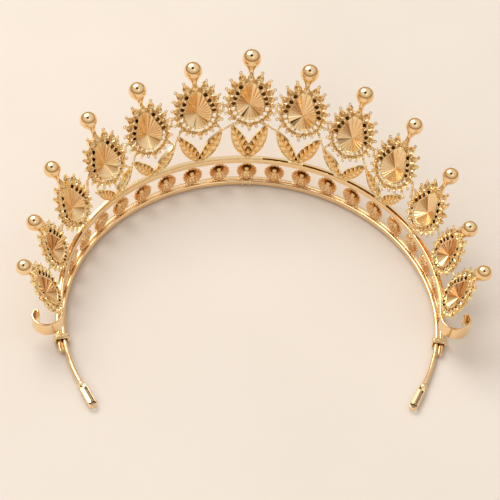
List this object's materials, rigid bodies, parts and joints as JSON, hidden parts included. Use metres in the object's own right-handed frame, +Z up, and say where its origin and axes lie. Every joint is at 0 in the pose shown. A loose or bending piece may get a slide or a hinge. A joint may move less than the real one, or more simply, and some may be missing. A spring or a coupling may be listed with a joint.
{
  "type": "tiara crown",
  "caption": "Open-backed gold tiara: a thin headband carries an upright openwork wall of small cups, leaves and rayed drop motifs, each topped by a ball.",
  "frame": {"origin": "centre of the headband circle, on the plane that the crown stands on", "axes": "+Z up out of the head opening, -Y towards the front of the crown, +X towards the wearer's left side"},
  "size_m": [0.157, 0.1219, 0.0549],
  "materials": {
    "polished_gold": "smooth polished gold plating, fine handling scratches",
    "cast_gold": "bright cast gold plating with beaded and chased detail",
    "burnished_gold": "ribbed gold plating, warmer and darker in the hollows",
    "wire_gold": "soft gold-coloured wire, lightly dulled"
  },
  "bodies": {
    "root": {"ball_finial_01": "polished_gold", "ball_finial_02": "polished_gold", "ball_finial_03": "polished_gold", "ball_finial_04": "polished_gold", "ball_finial_05": "polished_gold", "ball_finial_06": "polished_gold", "ball_finial_07": "polished_gold", "ball_finial_08": "polished_gold", "ball_finial_09": "polished_gold", "ball_finial_10": "polished_gold", "ball_finial_11": "polished_gold", "ball_finial_12": "polished_gold", "ball_finial_13": "polished_gold", "base_rail": "polished_gold", "crown_rail": "polished_gold", "drop_setting_01": "cast_gold", "drop_setting_02": "cast_gold", "drop_setting_03": "cast_gold", "drop_setting_04": "cast_gold", "drop_setting_05": "cast_gold", "drop_setting_06": "cast_gold", "drop_setting_07": "cast_gold", "drop_setting_08": "cast_gold", "drop_setting_09": "cast_gold", "drop_setting_10": "cast_gold", "drop_setting_11": "cast_gold", "drop_setting_12": "cast_gold", "drop_setting_13": "cast_gold", "front_lashing": "wire_gold", "headband": "polished_gold", "leaf_pair_04": "cast_gold", "leaf_pair_05": "cast_gold", "leaf_pair_06": "cast_gold", "leaf_pair_07": "cast_gold", "leaf_pair_08": "cast_gold", "leaf_pair_09": "cast_gold", "leaf_pair_10": "cast_gold", "left_end_scroll": "polished_gold", "left_eyelet": "polished_gold", "left_lashing": "wire_gold", "right_end_scroll": "polished_gold", "right_eyelet": "polished_gold", "right_lashing": "wire_gold", "rosettes": "burnished_gold", "side_links": "wire_gold", "sunburst_01": "burnished_gold", "sunburst_02": "burnished_gold", "sunburst_03": "burnished_gold", "sunburst_04": "burnished_gold", "sunburst_05": "burnished_gold", "sunburst_06": "burnished_gold", "sunburst_07": "burnished_gold", "sunburst_08": "burnished_gold", "sunburst_09": "burnished_gold", "sunburst_10": "burnished_gold", "sunburst_11": "burnished_gold", "sunburst_12": "burnished_gold", "sunburst_13": "burnished_gold", "tip_links": "wire_gold"}
  },
  "joints": []
}
